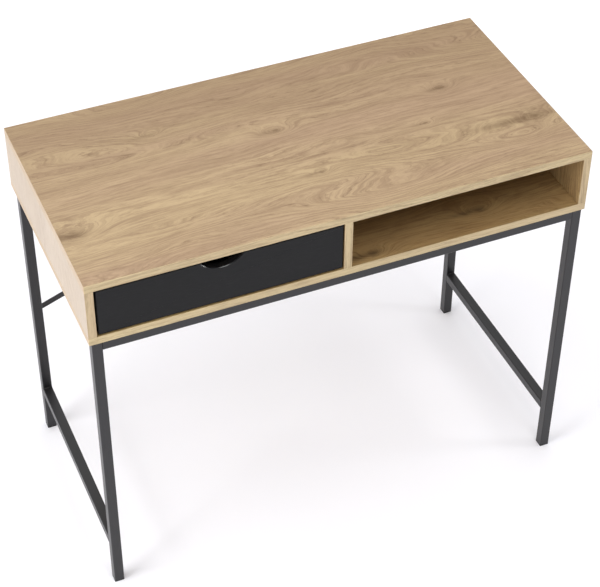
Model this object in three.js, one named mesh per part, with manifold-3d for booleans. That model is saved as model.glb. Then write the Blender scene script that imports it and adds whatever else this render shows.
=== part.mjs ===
// Writing desk: an oak-faced box with one inset drawer and one open compartment,
// standing on a frame of square steel tube with a crossed brace at the back.
// Millimetres, +Z up, the user's side towards -Y. The origin is on the floor,
// under the centre of the top.
import * as THREE from 'three';
import { mergeVertices } from 'three/addons/utils/BufferGeometryUtils.js';
import Module from 'manifold-3d';

const wasm = await Module();
wasm.setup();

// Overall sizes
const deskWidth = 1000;
const deskDepth = 500;
const deskHeight = 794;

// Box of laminated boards
const board = 16; // every board of the box
const openingHeight = 106.5; // clear height of the drawer bay and the open compartment

// Tube frame
const tube = 20; // outside of the square tube
const tubeWall = 1.5;
const tubeCorner = 2; // outer corner radius
const frameInsetSide = 5; // from the box's side to the legs
const frameInsetFront = 2;
const frameInsetRear = 14;
const stretcherTop = 121; // top of the lower stretchers above the floor

// Crossed brace of flat bar
const barWidth = 12;
const barThickness = 3;
const braceLegHeight = 330.5; // lower bolts, on the rear legs
const braceRailReach = 354; // upper bolts, on the rear rail, from the centre

// Drawer
const frontGapLeft = 4;
const frontGapRight = 2;
const frontGapTop = 4;
const frontGapBottom = 2.5;
const frontRecess = 2; // drawer front behind the box's front edges
const gripRadius = 52.5; // finger cut-out in the drawer front
const gripDepth = 20;
const drawerBoard = 12; // sides and back of the drawer
const drawerLift = 12.5; // drawer sides above the bottom board
const drawerHeadroom = 14; // drawer sides below the top board
const drawerBase = 3; // thin bottom of the drawer
const grooveRise = 6; // groove above the lower edge of the sides
const spaceBehindDrawer = 66;

// Roller runners
const runnerSpace = 13; // between the drawer side and the box
const runnerSteel = 1.2;
const channelSetback = 4; // channel behind the drawer front
const channelDrop = 1; // channel's floor below the drawer sides
const channelLip = 6;
const channelRim = 1.8; // channel floor beyond the rollers
const rollerRadius = 11;
const frontRollerInset = 14; // roller centres from the ends of their runners
const rearRollerInset = 15;
const rollerChamfer = { across: 0.6, along: 1 };
const pinRadius = 2.5;
const pinHead = 0.6; // pin beyond its roller

// Fasteners
const screwPlaces = [-0.36, 0.38]; // joint screws, as shares of the depth
const dividerPlaces = [-0.3, 0.26];
const railScrewPlaces = [-0.24, 0.2];
const camPlaces = [-0.34, 0.34];
const camRadius = 7.4;
const camCover = 3.8; // board left outside a cam
const camDrop = 34; // cam centre below the top board
const threadCover = 5; // top board left above a cam bolt
const railScrewCover = 4; // bottom board left above a rail screw

// Fits
const seam = 0.1; // hairline between pieces that meet
const slip = 0.15; // around a screw, dowel or board in its hole or groove
const rollGap = 0.3; // between a roller and the steel that it runs on
const steelGap = 0.8; // between a rail's flange and a roller that passes under it
const lipGap = 1.3; // between a rail's flange and the channel's upper lip
const webGap = 0.7; // between the channel's edge and the rail beside it
const rollerGap = 1; // between a roller's side and the channel
const pinFit = 0.1; // around a pin in its roller

// Derived places
const halfWidth = deskWidth / 2;
const halfDepth = deskDepth / 2;
const boxBottom = deskHeight - openingHeight - 2 * board;
const openingBottom = boxBottom + board;
const openingTop = deskHeight - board;
const bayWidth = halfWidth - 1.5 * board;
const bayCentre = -(bayWidth + board) / 2;
const sideX = halfWidth - board / 2;
const legX = halfWidth - frameInsetSide - tube / 2;
const frontLegY = -halfDepth + frameInsetFront + tube / 2;
const rearLegY = halfDepth - frameInsetRear - tube / 2;
const rearLegBack = rearLegY + tube / 2;
const railZ = boxBottom - seam - tube / 2;
const camDepth = board - camCover;
const boltThread = board - threadCover;
const railScrewBite = board - railScrewCover;
const drawerSideHeight = openingHeight - drawerLift - drawerHeadroom;
const drawerLength = deskDepth - frontRecess - 2 * board - spaceBehindDrawer;
const grooveDepth = drawerBoard / 2;
const runnerLength = drawerLength;
const channelDepth = runnerSpace - seam - runnerSteel - webGap;
const rollerWidth = channelDepth - runnerSteel - rollerGap - channelRim;

const oak = { color: 0xc7a67e, roughness: 0.55, metalness: 0 };
const blackBoard = { color: 0x35363a, roughness: 0.6, metalness: 0 };
const coatedSteel = { color: 0x2e2e30, roughness: 0.5, metalness: 0.3 };
const blackPlastic = { color: 0x1c1c1d, roughness: 0.7, metalness: 0 };
const whiteSteel = { color: 0xdedcd6, roughness: 0.4, metalness: 0.2 };
const nylon = { color: 0xd8d6cf, roughness: 0.5, metalness: 0 };
const zinc = { color: 0xa9abad, roughness: 0.35, metalness: 1 };

function piece(name, geometry, finish) {
  const mesh = new THREE.Mesh(geometry, new THREE.MeshStandardMaterial(finish));
  mesh.name = name;
  return mesh;
}

// A block between its lowest and highest corners.
function block(low, high) {
  const size = high.map((value, axis) => value - low[axis]);
  const geometry = new THREE.BoxGeometry(...size);
  geometry.translate(...low.map((value, axis) => value + size[axis] / 2));
  return geometry;
}

// A round bar between two points.
function rod(radius, start, end, sides = 16) {
  const from = new THREE.Vector3(...start);
  const along = new THREE.Vector3(...end).sub(from);
  const geometry = new THREE.CylinderGeometry(radius, radius, along.length(), sides);
  const up = new THREE.Vector3(0, 1, 0);
  geometry.applyQuaternion(new THREE.Quaternion().setFromUnitVectors(up, along.clone().normalize()));
  geometry.translate(from.x + along.x / 2, from.y + along.y / 2, from.z + along.z / 2);
  return geometry;
}

// A turned piece about +Z, from [radius, height] points that start and end on the axis
// or close on themselves.
function turned(profile, sides = 16) {
  const points = profile.map(([radius, height]) => new THREE.Vector2(radius, height));
  const geometry = new THREE.LatheGeometry(points, sides);
  geometry.rotateX(Math.PI / 2);
  return geometry;
}

// A flat outline in X and Z, thick along +Y from the given depth.
function plate(outline, depth, thickness, curveSegments = 4) {
  const geometry = new THREE.ExtrudeGeometry(outline, {
    depth: thickness,
    bevelEnabled: false,
    curveSegments,
  });
  geometry.rotateX(Math.PI / 2);
  geometry.translate(0, depth + thickness, 0);
  return geometry;
}

function toSolid(geometry) {
  const bare = geometry.clone();
  bare.deleteAttribute('normal');
  bare.deleteAttribute('uv');
  const merged = mergeVertices(bare, 1e-4);
  return new wasm.Manifold(new wasm.Mesh({
    numProp: 3,
    vertProperties: merged.attributes.position.array,
    triVerts: new Uint32Array(merged.index.array),
  }));
}

function toGeometry(solid) {
  const mesh = solid.getMesh();
  const geometry = new THREE.BufferGeometry();
  geometry.setAttribute('position', new THREE.BufferAttribute(mesh.vertProperties, 3));
  geometry.setIndex(new THREE.BufferAttribute(mesh.triVerts, 1));
  return geometry;
}

function cut(geometry, cutters) {
  const start = toSolid(geometry);
  return toGeometry(cutters.reduce((solid, cutter) => solid.subtract(toSolid(cutter)), start));
}

function join(geometries) {
  const solids = geometries.map(toSolid);
  return toGeometry(solids.reduce((solid, next) => solid.add(next)));
}

// ---------------------------------------------------------------- fasteners

const screwLength = 50;
const screwHead = { radius: 5, height: 3.5, taper: 1 };
const screwShank = 3.4;
const screwPoint = { radius: 1.2, length: 5 };

// A joint screw: flat head down, shank through the bottom board, point up.
function jointScrew() {
  return turned([
    [0, 0],
    [screwHead.radius, 0],
    [screwHead.radius, screwHead.height],
    [screwShank, screwHead.height + screwHead.taper],
    [screwShank, screwLength - screwPoint.length],
    [screwPoint.radius, screwLength],
    [0, screwLength],
  ]);
}

const overcut = 1; // a cutter beyond the face that it opens

// The stepped hole that a joint screw needs in the boards, at the same origin.
function jointScrewHole() {
  return turned([
    [0, -overcut],
    [screwHead.radius + slip, -overcut],
    [screwHead.radius + slip, screwHead.height + slip],
    [screwShank + slip, screwHead.height + screwHead.taper + slip],
    [screwShank + slip, screwLength + overcut],
    [0, screwLength + overcut],
  ]);
}

const railScrewRadius = 2.2;
const panHead = { radius: 4.4, crown: 3, seat: 1.4, height: 2.6 };
const railScrewPoint = 3;

// A pan-head screw from under a rail into the bottom board, origin at the head's seat.
function railScrew() {
  const tip = tube + seam + railScrewBite;
  return turned([
    [0, -panHead.height],
    [panHead.crown, -panHead.height],
    [panHead.radius, -panHead.seat],
    [panHead.radius, -seam],
    [railScrewRadius, -seam],
    [railScrewRadius, tip - railScrewPoint],
    [0, tip],
  ]);
}

const boltHead = { radius: 3.5, height: 3.5 };
const boltStep = 1; // height of each taper along the cam bolt
const boltNeck = { radius: 2.6, reach: 2 }; // reach beyond the cam
const boltBody = 3.6;
const boltScrew = 3;

// A cam bolt: head down in the cam, thread up in the top board, origin at the joint.
function camBolt() {
  const headTop = -camDrop + boltHead.height;
  return turned([
    [0, -camDrop],
    [boltHead.radius, -camDrop],
    [boltHead.radius, headTop],
    [boltNeck.radius, headTop + boltStep],
    [boltNeck.radius, -camDrop + camRadius + boltNeck.reach],
    [boltBody, -camDrop + camRadius + boltNeck.reach + boltStep],
    [boltBody, -boltStep],
    [boltScrew, 0],
    [boltScrew, boltThread - boltStep],
    [0, boltThread],
  ]);
}

const camSides = 20;
const driverSlot = { depth: 1.2, length: 8, width: 1.6 };
const boltSeat = 0.5; // channel in the cam below the bolt's lower end

// A cam: a disc about X with a channel for the bolt head and a driver slot.
function cam(inward) {
  const disc = rod(camRadius, [0, 0, 0], [-inward * camDepth, 0, 0], camSides);
  const channelX = -inward * board / 2;
  const channel = rod(
    boltHead.radius + slip,
    [channelX, 0, -boltSeat],
    [channelX, 0, camRadius + overcut],
  );
  const slotHigh = [driverSlot.depth, driverSlot.length / 2, driverSlot.width / 2];
  const slot = block(slotHigh.map((value) => -value), slotHigh);
  return cut(disc, [channel, slot]);
}

// ---------------------------------------------------------------- box

const sideLow = openingBottom + seam;
const sideHigh = openingTop - seam;
const backFace = halfDepth - board;

function holesAt(places, x, z, makeHole) {
  return places.map((share) => {
    const hole = makeHole();
    hole.translate(x, share * deskDepth, z);
    return hole;
  });
}

function topPanel() {
  const sockets = [-sideX, sideX].flatMap((x) => holesAt(
    camPlaces, x, openingTop,
    () => rod(boltScrew + slip, [0, 0, -overcut], [0, 0, boltThread + slip]),
  ));
  return cut(block([-halfWidth, -halfDepth, openingTop], [halfWidth, halfDepth, deskHeight]), sockets);
}

function bottomPanel() {
  const joints = [-sideX, sideX].flatMap((x) => holesAt(screwPlaces, x, boxBottom, jointScrewHole));
  const middle = holesAt(dividerPlaces, 0, boxBottom, jointScrewHole);
  const pilots = [-legX, legX].flatMap((x) => holesAt(
    railScrewPlaces, x, boxBottom,
    () => rod(railScrewRadius + slip, [0, 0, -overcut], [0, 0, railScrewBite + slip]),
  ));
  const slab = block([-halfWidth, -halfDepth, boxBottom], [halfWidth, halfDepth, openingBottom]);
  return cut(slab, [...joints, ...middle, ...pilots]);
}

// A side panel, bored for the joint screws below and the cams and their bolts above.
function sidePanel(side) {
  const centre = side * sideX;
  const face = centre - side * board / 2;
  const screws = holesAt(screwPlaces, centre, boxBottom, jointScrewHole);
  const camZ = openingTop - camDrop;
  const sockets = holesAt(camPlaces, face, camZ, () => (
    rod(camRadius + slip, [-side * overcut, 0, 0], [side * (camDepth + slip), 0, 0], camSides)
  ));
  const bores = holesAt(camPlaces, centre, camZ, () => (
    rod(boltBody + slip, [0, 0, 0], [0, 0, camDrop + overcut])
  ));
  const low = [centre - board / 2, -halfDepth, sideLow];
  const high = [centre + board / 2, halfDepth, sideHigh];
  return cut(block(low, high), [...screws, ...sockets, ...bores]);
}

function divider() {
  const low = [-board / 2, -halfDepth, sideLow];
  const high = [board / 2, backFace - seam, sideHigh];
  return cut(block(low, high), holesAt(dividerPlaces, 0, boxBottom, jointScrewHole));
}

function buildBox() {
  const box = new THREE.Group();
  const backReach = halfWidth - board - seam;
  box.add(piece('top_panel', topPanel(), oak));
  box.add(piece('bottom_panel', bottomPanel(), oak));
  box.add(piece('left_side_panel', sidePanel(-1), oak));
  box.add(piece('right_side_panel', sidePanel(1), oak));
  box.add(piece('centre_divider', divider(), oak));
  const back = block([-backReach, backFace, sideLow], [backReach, halfDepth, sideHigh]);
  box.add(piece('back_panel', back, oak));
  for (const [sideName, side] of [['left', -1], ['right', 1]]) {
    for (const [index, endName] of ['front', 'rear'].entries()) {
      const screw = piece(`${sideName}_${endName}_joint_screw`, jointScrew(), zinc);
      screw.position.set(side * sideX, screwPlaces[index] * deskDepth, boxBottom);
      const disc = piece(`${sideName}_${endName}_cam`, cam(-side), zinc);
      disc.position.set(side * (halfWidth - board), camPlaces[index] * deskDepth, openingTop - camDrop);
      const bolt = piece(`${sideName}_${endName}_cam_bolt`, camBolt(), zinc);
      bolt.position.set(side * sideX, camPlaces[index] * deskDepth, openingTop);
      box.add(screw, disc, bolt);
    }
  }
  for (const [index, endName] of ['front', 'rear'].entries()) {
    const screw = piece(`divider_${endName}_joint_screw`, jointScrew(), zinc);
    screw.position.set(0, dividerPlaces[index] * deskDepth, boxBottom);
    box.add(screw);
  }
  return box;
}

// ---------------------------------------------------------------- frame

// A square with rounded corners, centred.
function roundedSquare(size, radius, Type = THREE.Shape) {
  const half = size / 2;
  const flat = half - radius;
  const outline = new Type();
  outline.moveTo(flat, -half);
  outline.absarc(flat, -flat, radius, -Math.PI / 2, 0, false);
  outline.absarc(flat, flat, radius, 0, Math.PI / 2, false);
  outline.absarc(-flat, flat, radius, Math.PI / 2, Math.PI, false);
  outline.absarc(-flat, -flat, radius, Math.PI, 1.5 * Math.PI, false);
  return outline;
}

// A length of square tube along +Z from the origin.
function squareTube(length) {
  const outline = roundedSquare(tube, tubeCorner);
  outline.holes.push(roundedSquare(tube - 2 * tubeWall, tubeCorner / 2, THREE.Path));
  return new THREE.ExtrudeGeometry(outline, { depth: length, bevelEnabled: false, curveSegments: 1 });
}

// A tube between two points that differ along X or along Y only.
function tubeBetween(start, end) {
  const alongX = end[0] !== start[0];
  const geometry = squareTube(alongX ? end[0] - start[0] : end[1] - start[1]);
  if (alongX) {
    geometry.rotateY(Math.PI / 2);
  } else {
    geometry.rotateX(-Math.PI / 2);
  }
  geometry.translate(...start);
  return geometry;
}

const plugFlange = 3;
const plugStem = 18;

// A push-in plug that closes a leg and stands on the floor.
function footPlug() {
  const flange = new THREE.ExtrudeGeometry(roundedSquare(tube, tubeCorner), {
    depth: plugFlange,
    bevelEnabled: false,
    curveSegments: 1,
  });
  const inside = tube - 2 * tubeWall - 2 * slip;
  const stem = new THREE.ExtrudeGeometry(roundedSquare(inside, tubeCorner / 2), {
    depth: plugFlange + plugStem,
    bevelEnabled: false,
    curveSegments: 1,
  });
  return join([flange, stem]);
}

const braceBolt = 2.9;
const legFoot = plugFlange + seam;

function legTube(isRear) {
  const geometry = squareTube(boxBottom - seam - legFoot);
  geometry.translate(0, 0, legFoot);
  if (!isRear) {
    return geometry;
  }
  const height = braceLegHeight;
  return cut(geometry, [rod(braceBolt + slip, [0, 0, height], [0, tube, height])]);
}

function sideRail(x) {
  const start = [x, frontLegY + tube / 2 + seam, railZ];
  const end = [x, rearLegY - tube / 2 - seam, railZ];
  const holes = railScrewPlaces.map((share) => rod(
    railScrewRadius + slip,
    [x, share * deskDepth, railZ - tube],
    [x, share * deskDepth, railZ + tube],
  ));
  return cut(tubeBetween(start, end), holes);
}

function crossRail(y) {
  const reach = legX - tube / 2 - seam;
  return tubeBetween([-reach, y, railZ], [reach, y, railZ]);
}

function rearRail() {
  const holes = [-1, 1].map((side) => rod(
    braceBolt + slip,
    [side * braceRailReach, rearLegY, railZ],
    [side * braceRailReach, rearLegY + tube, railZ],
  ));
  return cut(crossRail(rearLegY), holes);
}

function buildFrame() {
  const frame = new THREE.Group();
  const stretcherZ = stretcherTop - tube / 2;
  for (const [sideName, side] of [['left', -1], ['right', 1]]) {
    for (const [endName, y] of [['front', frontLegY], ['rear', rearLegY]]) {
      const leg = piece(`${endName}_${sideName}_leg`, legTube(endName === 'rear'), coatedSteel);
      leg.position.set(side * legX, y, 0);
      const plug = piece(`${endName}_${sideName}_foot_plug`, footPlug(), blackPlastic);
      plug.position.set(side * legX, y, 0);
      frame.add(leg, plug);
    }
    const stretcher = tubeBetween(
      [side * legX, frontLegY + tube / 2 + seam, stretcherZ],
      [side * legX, rearLegY - tube / 2 - seam, stretcherZ],
    );
    frame.add(piece(`${sideName}_lower_stretcher`, stretcher, coatedSteel));
    frame.add(piece(`${sideName}_side_rail`, sideRail(side * legX), coatedSteel));
    for (const [index, endName] of ['front', 'rear'].entries()) {
      const screw = piece(`${sideName}_${endName}_rail_screw`, railScrew(), zinc);
      screw.position.set(side * legX, railScrewPlaces[index] * deskDepth, railZ - tube / 2);
      frame.add(screw);
    }
  }
  frame.add(piece('front_rail', crossRail(frontLegY), coatedSteel));
  frame.add(piece('rear_rail', rearRail(), coatedSteel));
  return frame;
}

// ---------------------------------------------------------------- crossed brace

const braceHole = braceBolt + 3 * slip;
const buttonHead = { radius: 5, crown: 3.4, seat: 1.6, height: 3 };
const boltReach = 9; // brace bolts inside the tube's face
const rivetHead = { radius: 5, crown: 3, seat: 0.8, height: 2 };
const braceRise = railZ - braceLegHeight;
const braceRun = legX + braceRailReach;
const braceSlope = Math.atan2(braceRise, braceRun);
const braceLength = Math.hypot(braceRun, braceRise);
const braceEnd = 9; // bar beyond each end bolt
const crossingZ = braceLegHeight + legX * Math.tan(braceSlope);
const crossingAlong = legX / Math.cos(braceSlope);

// A flat bar with round ends, drilled at both bolts and at the crossing. It starts at a
// rear leg's bolt and rises to the rail, towards +X for side 1 and towards -X for side -1.
function braceBar(side, depth) {
  const round = barWidth / 2;
  const straight = braceEnd - round;
  const outline = new THREE.Shape();
  outline.absarc(-straight, 0, round, Math.PI / 2, 1.5 * Math.PI, false);
  outline.absarc(braceLength + straight, 0, round, -Math.PI / 2, Math.PI / 2, false);
  for (const along of [0, crossingAlong, braceLength]) {
    const hole = new THREE.Path();
    hole.absarc(along, 0, braceHole, 0, 2 * Math.PI, true);
    outline.holes.push(hole);
  }
  const geometry = plate(outline, depth, barThickness);
  geometry.rotateY(side > 0 ? -braceSlope : Math.PI + braceSlope);
  return geometry;
}

// A button-head bolt along Y, its head behind the bar and its shank towards -Y.
function frameBolt(shank) {
  const bolt = turned([
    [0, -shank],
    [braceBolt, -shank],
    [braceBolt, seam],
    [buttonHead.radius, seam],
    [buttonHead.radius, buttonHead.seat],
    [buttonHead.crown, buttonHead.height],
    [0, buttonHead.height],
  ]);
  bolt.rotateX(-Math.PI / 2);
  return bolt;
}

function spacer() {
  const ring = turned([
    [braceHole, 0],
    [barWidth / 2, 0],
    [barWidth / 2, barThickness],
    [braceHole, barThickness],
    [braceHole, 0],
  ]);
  ring.rotateX(-Math.PI / 2);
  return ring;
}

function crossingRivet() {
  const grip = 2 * barThickness + 3 * seam;
  const rivet = turned([
    [0, -rivetHead.height],
    [rivetHead.crown, -rivetHead.height],
    [rivetHead.radius, -rivetHead.seat],
    [rivetHead.radius, -seam],
    [braceBolt, -seam],
    [braceBolt, grip],
    [rivetHead.radius, grip],
    [rivetHead.radius, grip + rivetHead.seat],
    [rivetHead.crown, grip + rivetHead.height],
    [0, grip + rivetHead.height],
  ]);
  rivet.rotateX(-Math.PI / 2);
  return rivet;
}

function buildBrace() {
  const brace = new THREE.Group();
  const innerDepth = rearLegBack + seam;
  const outerDepth = innerDepth + barThickness + seam;
  const bars = [['left', 1, innerDepth], ['right', -1, outerDepth]];
  for (const [footName, side, depth] of bars) {
    const bar = piece(`${footName}_footed_brace_bar`, braceBar(side, 0), coatedSteel);
    bar.position.set(-side * legX, depth, braceLegHeight);
    brace.add(bar);
    const ends = [['leg', -side * legX, braceLegHeight], ['rail', side * braceRailReach, railZ]];
    const back = depth + barThickness;
    for (const [endName, x, z] of ends) {
      const shank = back - rearLegBack + boltReach;
      const bolt = piece(`${footName}_bar_${endName}_bolt`, frameBolt(shank), zinc);
      bolt.position.set(x, back, z);
      brace.add(bolt);
      if (side < 0) {
        const ring = piece(`${footName}_bar_${endName}_spacer`, spacer(), zinc);
        ring.position.set(x, innerDepth, z);
        brace.add(ring);
      }
    }
  }
  const rivet = piece('brace_crossing_rivet', crossingRivet(), zinc);
  rivet.position.set(0, innerDepth, crossingZ);
  brace.add(rivet);
  return brace;
}

// ---------------------------------------------------------------- drawer and runners
// Both are placed in the bay's own frame: X from the bay's centre, Y from the drawer
// front's face towards the back, Z from the bottom board.

const frontWidth = bayWidth - frontGapLeft - frontGapRight;
const frontHeight = openingHeight - frontGapTop - frontGapBottom;
const frontCentre = (frontGapLeft - frontGapRight) / 2;
const boxHalf = bayWidth / 2 - runnerSpace; // centre to the outer face of a drawer side
const boxStart = board + seam;
const boxEnd = board + drawerLength;
const grooveLow = drawerLift + grooveRise;
const grooveHigh = grooveLow + drawerBase + 2 * slip;
const innerHalf = boxHalf - drawerBoard;

// The groove for the drawer bottom, cut into the sides and the drawer front together.
function drawerGroove() {
  const reach = innerHalf + grooveDepth;
  return block([-reach, board - grooveDepth, grooveLow], [reach, boxEnd + overcut, grooveHigh]);
}

const gripSegments = 12;

// A rectangle whose top edge has a round finger cut-out in the middle.
function drawerFront() {
  const half = frontWidth / 2;
  const top = frontGapBottom + frontHeight;
  const above = gripRadius - gripDepth;
  const tilt = Math.asin(above / gripRadius);
  const outline = new THREE.Shape();
  outline.moveTo(-half, frontGapBottom);
  outline.lineTo(half, frontGapBottom);
  outline.lineTo(half, top);
  outline.absarc(0, top + above, gripRadius, -tilt, -Math.PI + tilt, true);
  outline.lineTo(-half, top);
  const panel = plate(outline, 0, board, gripSegments);
  panel.translate(frontCentre, 0, 0);
  return cut(panel, [drawerGroove()]);
}

function drawerSide(side) {
  const outer = side * boxHalf;
  const inner = side * innerHalf;
  const low = [Math.min(outer, inner), boxStart, drawerLift];
  const high = [Math.max(outer, inner), boxEnd, drawerLift + drawerSideHeight];
  return cut(block(low, high), [drawerGroove()]);
}

function drawerBack() {
  const reach = innerHalf - seam;
  const low = [-reach, boxEnd - drawerBoard, grooveHigh];
  return block(low, [reach, boxEnd, drawerLift + drawerSideHeight]);
}

function drawerBottom() {
  const reach = innerHalf + grooveDepth - slip;
  const low = [-reach, board - grooveDepth + slip, grooveLow + slip];
  return block(low, [reach, boxEnd, grooveLow + slip + drawerBase]);
}

// Heights of the runner stack, from the channel's floor up.
const channelLow = drawerLift - channelDrop;
const channelFloor = channelLow + runnerSteel;
const rearRollerZ = channelFloor + rollGap + rollerRadius;
const flangeLow = rearRollerZ + rollerRadius + steelGap;
const flangeHigh = flangeLow + runnerSteel;
const frontRollerZ = flangeLow - rollGap - rollerRadius;
const channelHigh = flangeHigh + lipGap + runnerSteel;
const channelStart = board + channelSetback;
const frontRollerY = channelStart + frontRollerInset;
const rearRollerY = boxEnd - rearRollerInset;
const rollerNear = runnerSteel + rollerGap; // a roller's faces, from the bay's wall
const rollerFar = rollerNear + rollerWidth;

// An outline of [inward, height] points from the bay's wall, drawn out along Y.
function runnerSection(points, side, start, length) {
  const wall = side * bayWidth / 2;
  const corners = points.map(([inward, z]) => new THREE.Vector2(wall - side * inward, z));
  return plate(new THREE.Shape(corners), start, length);
}

const rollerSides = 24;

function rollerPin(side, y, z, from, to) {
  const wall = side * bayWidth / 2;
  return rod(pinRadius, [wall - side * from, y, z], [wall - side * to, y, z], rollerSides);
}

// The channel fixed to the box, with the pin of its front roller.
function cabinetRunner(side) {
  const channel = runnerSection([
    [seam, channelLow],
    [channelDepth, channelLow],
    [channelDepth, channelFloor],
    [seam + runnerSteel, channelFloor],
    [seam + runnerSteel, channelHigh - runnerSteel],
    [channelLip, channelHigh - runnerSteel],
    [channelLip, channelHigh],
    [seam, channelHigh],
  ], side, channelStart, runnerLength);
  const root = seam + runnerSteel / 2;
  const pin = rollerPin(side, frontRollerY, frontRollerZ, root, rollerFar + pinHead);
  return join([channel, pin]);
}

// The rail fixed to the drawer: it wraps under the drawer side, and its outer flange
// runs over the front roller. Its rear end carries the pin of the rear roller.
function drawerRunner(side) {
  const webIn = runnerSpace - seam;
  const webOut = webIn - runnerSteel;
  const rail = runnerSection([
    [webOut, drawerLift - seam - runnerSteel],
    [runnerSpace + drawerBoard, drawerLift - seam - runnerSteel],
    [runnerSpace + drawerBoard, drawerLift - seam],
    [webIn, drawerLift - seam],
    [webIn, flangeHigh],
    [rollerNear, flangeHigh],
    [rollerNear, flangeLow],
    [webOut, flangeLow],
  ], side, boxStart, drawerLength - 2 * seam);
  const root = webOut + runnerSteel / 2;
  const pin = rollerPin(side, rearRollerY, rearRollerZ, root, rollerNear - rollerGap / 2);
  return join([rail, pin]);
}

// A nylon roller about X, centred, with its bore a running fit on the pin.
function roller() {
  const half = rollerWidth / 2;
  const bore = pinRadius + pinFit;
  const geometry = turned([
    [bore, -half],
    [rollerRadius - rollerChamfer.along, -half],
    [rollerRadius, -half + rollerChamfer.across],
    [rollerRadius, half - rollerChamfer.across],
    [rollerRadius - rollerChamfer.along, half],
    [bore, half],
    [bore, -half],
  ], rollerSides);
  geometry.rotateY(Math.PI / 2);
  return geometry;
}

function buildDrawerBay() {
  const bay = new THREE.Group();
  bay.position.set(bayCentre, -halfDepth + frontRecess, openingBottom);
  bay.add(piece('drawer_front', drawerFront(), blackBoard));
  bay.add(piece('drawer_back', drawerBack(), blackBoard));
  bay.add(piece('drawer_bottom', drawerBottom(), blackBoard));
  for (const [sideName, side] of [['left', -1], ['right', 1]]) {
    bay.add(piece(`drawer_${sideName}_side`, drawerSide(side), blackBoard));
    bay.add(piece(`${sideName}_cabinet_runner`, cabinetRunner(side), whiteSteel));
    bay.add(piece(`${sideName}_drawer_runner`, drawerRunner(side), whiteSteel));
    const rollerX = side * (bayWidth / 2 - (rollerNear + rollerFar) / 2);
    const frontRoller = piece(`${sideName}_front_roller`, roller(), nylon);
    frontRoller.position.set(rollerX, frontRollerY, frontRollerZ);
    const rearRoller = piece(`${sideName}_rear_roller`, roller(), nylon);
    rearRoller.position.set(rollerX, rearRollerY, rearRollerZ);
    bay.add(frontRoller, rearRoller);
  }
  return bay;
}

const desk = new THREE.Group();
desk.add(buildBox(), buildFrame(), buildBrace(), buildDrawerBay());

export default desk;
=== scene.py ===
import bpy
import numpy as np
from mathutils import Matrix, Vector


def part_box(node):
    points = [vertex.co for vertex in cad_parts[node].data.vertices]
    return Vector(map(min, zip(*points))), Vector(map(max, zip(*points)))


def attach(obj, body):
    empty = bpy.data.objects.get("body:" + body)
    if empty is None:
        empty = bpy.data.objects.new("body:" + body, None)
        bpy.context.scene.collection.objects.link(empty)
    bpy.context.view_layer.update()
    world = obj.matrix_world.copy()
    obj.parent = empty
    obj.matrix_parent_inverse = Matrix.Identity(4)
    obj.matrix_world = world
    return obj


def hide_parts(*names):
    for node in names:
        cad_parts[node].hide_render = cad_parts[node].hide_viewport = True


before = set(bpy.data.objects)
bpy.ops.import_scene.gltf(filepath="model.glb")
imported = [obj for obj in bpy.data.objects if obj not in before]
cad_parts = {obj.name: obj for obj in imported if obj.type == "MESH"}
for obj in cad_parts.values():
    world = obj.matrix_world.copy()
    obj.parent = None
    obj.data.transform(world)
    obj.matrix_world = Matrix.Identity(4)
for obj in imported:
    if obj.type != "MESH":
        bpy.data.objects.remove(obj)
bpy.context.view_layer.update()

# Writing desk with one inset drawer and an open compartment, on a frame of square steel
# tube with a crossed brace. Metres, +Z up, the user's side towards -Y.

mm = 0.001
axis_x, axis_y, axis_z = 0, 1, 2

# Makers' sizes
band = 0.9 * mm  # thickness of an edge band
tube_corner = 1.7 * mm
tube_ease = 0.25 * mm
bar_ease = 0.5 * mm
weld_leg = 3.0 * mm
lip_round = 2.2 * mm  # where the finger cut-out meets the drawer front's top edge
grip_radius = 52.5 * mm
grip_depth = 20 * mm
front_chamfer = 1.1 * mm  # bevel round the drawer front
sharp_from = np.radians(32)  # edges that turn more than this stay sharp
roller_eye = 2.6 * mm  # radii of a roller's hub, from the middle outwards
roller_hub = 4.6 * mm
roller_web = 5.0 * mm
roller_dish = 1.1 * mm  # how deep its web lies below the hub
rim_inside = 2.2 * mm  # steps of its rim, inwards from the tread
rim_edge = 1.8 * mm
tread_round = 0.7 * mm
ease_steps = 4
corner_steps = 5


# ------------------------------------------------------------------ surfaces

def skin(name, rings, basis=None, origin=(0, 0, 0), closed_path=False):
    """A closed skin over rings of points: quads between neighbouring rings, and a flat
    face over the first and the last ring. A point goes to origin plus its three local
    coordinates times the three directions in basis. Flat sides stay flat shaded."""
    rings = np.asarray(rings, dtype=float)
    ring_count, around = rings.shape[:2]
    index = np.arange(ring_count * around).reshape(ring_count, around)
    here = index if closed_path else index[:-1]
    beyond = np.roll(index, -1, axis=0)[: len(here)]
    quads = np.stack(
        [here, np.roll(here, -1, axis=1), np.roll(beyond, -1, axis=1), beyond],
        axis=-1,
    ).reshape(-1, 4)
    faces = quads.tolist()
    if not closed_path:
        faces += [index[0][::-1].tolist(), index[-1].tolist()]
    points = rings.reshape(-1, 3)
    corner = points[quads]
    across = np.cross(corner[:, 2] - corner[:, 0], corner[:, 3] - corner[:, 1])
    size = np.linalg.norm(across, axis=1, keepdims=True)
    flat = (np.abs(across) / np.maximum(size, 1e-12)).max(axis=1) > 0.99995
    smooth = np.concatenate([~flat, np.zeros(len(faces) - len(quads), bool)])
    if basis is not None:
        points = points @ np.asarray(basis, dtype=float)
    mesh = bpy.data.meshes.new(name)
    mesh.from_pydata((points + np.asarray(origin, dtype=float)).tolist(), [], faces)
    mesh.polygons.foreach_set("use_smooth", smooth)
    mesh.update()
    piece = bpy.data.objects.new(name, mesh)
    bpy.context.scene.collection.objects.link(piece)
    return piece


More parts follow.
